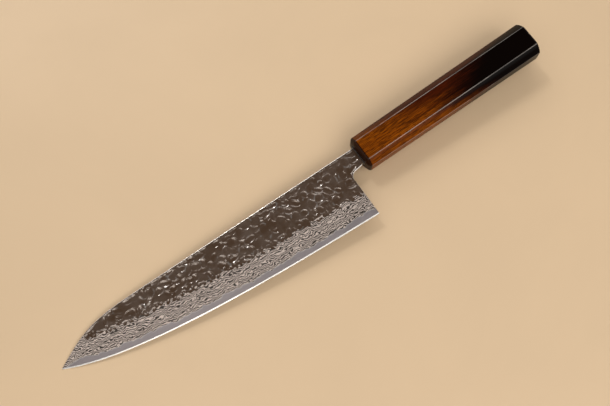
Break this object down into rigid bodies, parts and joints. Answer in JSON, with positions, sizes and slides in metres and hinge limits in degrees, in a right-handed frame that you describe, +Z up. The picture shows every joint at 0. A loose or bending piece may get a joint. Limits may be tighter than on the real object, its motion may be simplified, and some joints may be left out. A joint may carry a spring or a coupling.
{
  "type": "chef knife",
  "caption": "Chef knife with a forged three-layer blade, hammered above and patterned below, and an octagonal wooden handle on a hidden tang.",
  "frame": {"origin": "bottom centre of the bounding box of the knife as it lies on its right side", "axes": "+X from the tip towards the butt, +Y from the cutting edge towards the spine, +Z up, out of the blade's left face; the knife's own axis is turned 2.24 degrees about Y, because it rests on its point and on the handle's front corner"},
  "size_m": [0.355, 0.0494, 0.0235],
  "materials": {
    "core_steel": "finely ground, bright at the cutting edge",
    "layered_steel": "hammered and darkened above, etched pattern below",
    "oak": "glossy lacquer over oak, amber at the front fading to black at the butt",
    "adhesive": "set resin, hidden",
    "sealant": "dark set resin"
  },
  "bodies": {
    "root": {"blade_core": "core_steel", "left_cladding": "layered_steel", "right_cladding": "layered_steel", "handle_body": "oak", "tang_bedding": "adhesive", "mouth_seal": "sealant"}
  },
  "joints": []
}
